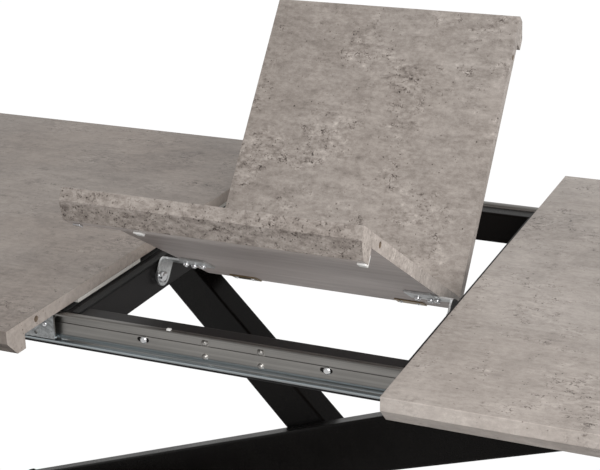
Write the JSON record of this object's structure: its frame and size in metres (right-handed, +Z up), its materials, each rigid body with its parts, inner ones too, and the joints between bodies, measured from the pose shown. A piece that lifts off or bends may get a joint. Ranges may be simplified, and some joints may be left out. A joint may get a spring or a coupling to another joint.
{
  "type": "extendable dining table",
  "caption": "Extending dining table: two tops slide apart on a steel frame with crossed legs, and a folding leaf swings up between them.",
  "frame": {"origin": "on the floor under the middle of the table", "axes": "+X the way the tops slide apart, +Y from the front to the back, +Z up"},
  "size_m": [2.296, 0.9, 1.0548],
  "materials": {
    "black_powder_coat": "fine matt black powder coat",
    "galvanised_steel": "rolled galvanised steel, slightly dull",
    "bright_zinc": "bright zinc plate",
    "bronzed_brass": "dull bronzed brass",
    "concrete_laminate": "warm grey concrete-look foil on fibreboard, satin",
    "pale_strip": "plain pale melamine",
    "dark_glide": "dark soft glide"
  },
  "bodies": {
    "cage_left_back": {"ball_cage_left_back": "bright_zinc"},
    "cage_left_front": {"ball_cage_left_front": "bright_zinc"},
    "cage_right_back": {"ball_cage_right_back": "bright_zinc"},
    "cage_right_front": {"ball_cage_right_front": "bright_zinc"},
    "frame": {"channel_screw_back_left": "bright_zinc", "channel_screw_back_right": "bright_zinc", "channel_screw_front_left": "bright_zinc", "channel_screw_front_right": "bright_zinc", "cross_beam_left": "black_powder_coat", "cross_beam_right": "black_powder_coat", "end_beam_left": "black_powder_coat", "end_beam_right": "black_powder_coat", "foot_plate_left": "black_powder_coat", "foot_plate_right": "black_powder_coat", "glide_left_back": "dark_glide", "glide_left_front": "dark_glide", "glide_right_back": "dark_glide", "glide_right_front": "dark_glide", "leg_bar_back": "black_powder_coat", "leg_bar_front": "black_powder_coat", "leg_bolt_left_a": "bright_zinc", "leg_bolt_left_b": "bright_zinc", "leg_bolt_right_a": "bright_zinc", "leg_bolt_right_b": "bright_zinc", "leg_mount_plate_left": "black_powder_coat", "leg_mount_plate_right": "black_powder_coat", "pivot_bolt_left": "bright_zinc", "pivot_bolt_right": "bright_zinc", "pivot_bush_left": "bright_zinc", "pivot_bush_right": "bright_zinc", "rail_back": "black_powder_coat", "rail_front": "black_powder_coat", "slide_channel_back": "galvanised_steel", "slide_channel_front": "galvanised_steel"},
    "left_top": {"edge_strip_left": "pale_strip", "runner_bracket_left_back": "galvanised_steel", "runner_bracket_left_front": "galvanised_steel", "slide_runner_left_back": "galvanised_steel", "slide_runner_left_front": "galvanised_steel", "top_left": "concrete_laminate"},
    "right_top": {"edge_strip_right": "pale_strip", "runner_bracket_right_back": "galvanised_steel", "runner_bracket_right_front": "galvanised_steel", "slide_runner_right_back": "galvanised_steel", "slide_runner_right_front": "galvanised_steel", "top_right": "concrete_laminate"},
    "leaf_back_panel": {"fold_hinge_left_back": "bronzed_brass", "fold_hinge_right_back": "bronzed_brass", "leaf_back": "concrete_laminate"},
    "leaf_front_panel": {"fold_hinge_left_front": "bronzed_brass", "fold_hinge_left_pin": "bright_zinc", "fold_hinge_right_front": "bronzed_brass", "fold_hinge_right_pin": "bright_zinc", "leaf_front": "concrete_laminate", "pivot_bracket_left": "galvanised_steel", "pivot_bracket_right": "galvanised_steel"}
  },
  "joints": [
    {"name": "left_slide", "type": "slide", "parent": "frame", "child": "left_top", "axis": [1, 0, 0], "range_m": [0, 0.0475]},
    {"name": "right_slide", "type": "slide", "parent": "frame", "child": "right_top", "axis": [-1, 0, 0], "range_m": [0, 0.0475]},
    {"name": "leaf_swing", "type": "hinge", "parent": "frame", "child": "leaf_front_panel", "pos_m": [0, -0.105, 0.712], "axis": [1, 0, 0], "range_deg": [-35.8, 31.4]},
    {"name": "leaf_fold", "type": "hinge", "parent": "leaf_front_panel", "child": "leaf_back_panel", "pos_m": [0, 0.00963, 0.69826], "axis": [1, 0, 0], "range_deg": [-83.9, 95.67]},
    {"name": "left_front_cage_slide", "type": "slide", "parent": "frame", "child": "cage_left_front", "axis": [1, 0, 0], "range_m": [0, 0.02375]},
    {"name": "left_back_cage_slide", "type": "slide", "parent": "frame", "child": "cage_left_back", "axis": [1, 0, 0], "range_m": [0, 0.02375]},
    {"name": "right_front_cage_slide", "type": "slide", "parent": "frame", "child": "cage_right_front", "axis": [-1, 0, 0], "range_m": [0, 0.02375]},
    {"name": "right_back_cage_slide", "type": "slide", "parent": "frame", "child": "cage_right_back", "axis": [-1, 0, 0], "range_m": [0, 0.02375]}
  ],
  "couplings": [
    {"joint": "left_front_cage_slide", "follows": "left_slide", "ratio": 0.5},
    {"joint": "left_back_cage_slide", "follows": "left_slide", "ratio": 0.5},
    {"joint": "right_front_cage_slide", "follows": "right_slide", "ratio": 0.5},
    {"joint": "right_back_cage_slide", "follows": "right_slide", "ratio": 0.5},
    {"joint": "leaf_fold", "follows": "leaf_swing", "ratio": -2.672}
  ]
}
